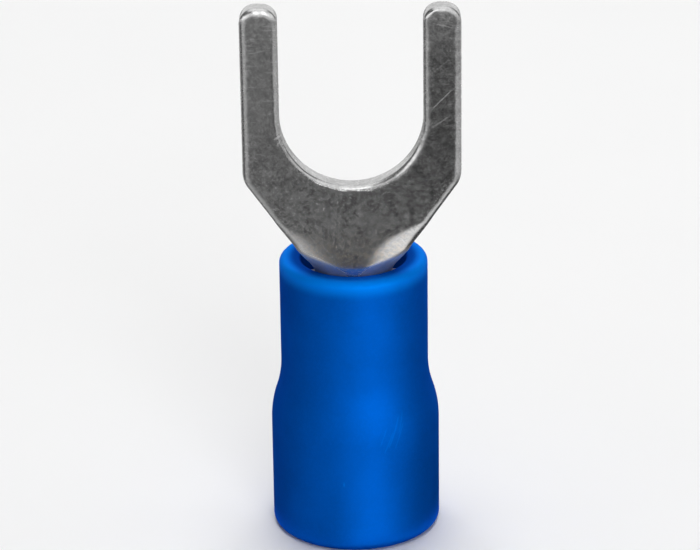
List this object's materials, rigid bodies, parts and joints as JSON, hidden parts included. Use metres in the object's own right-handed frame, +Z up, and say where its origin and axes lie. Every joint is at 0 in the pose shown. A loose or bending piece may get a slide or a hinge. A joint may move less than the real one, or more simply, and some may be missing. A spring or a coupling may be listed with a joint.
{
  "type": "insulated fork terminal",
  "caption": "Crimp fork terminal: a flat two-pronged tinned tongue curls into a rolled wire barrel inside a flared blue plastic sleeve; clamps a wire under a screw.",
  "frame": {"origin": "centre of the sleeve's wire-entry end, on the surface that the terminal stands on", "axes": "+Z up the barrel's axis towards the prong tips, +X across the fork, -Y out of the tongue's seating face"},
  "size_m": [0.0082, 0.0064, 0.0215],
  "materials": {
    "tinned_sheet": "dull tin plating with fine scratches",
    "blue_sleeve": "satin"
  },
  "bodies": {
    "root": {"fork_contact": "tinned_sheet", "insulating_sleeve": "blue_sleeve"}
  },
  "joints": []
}
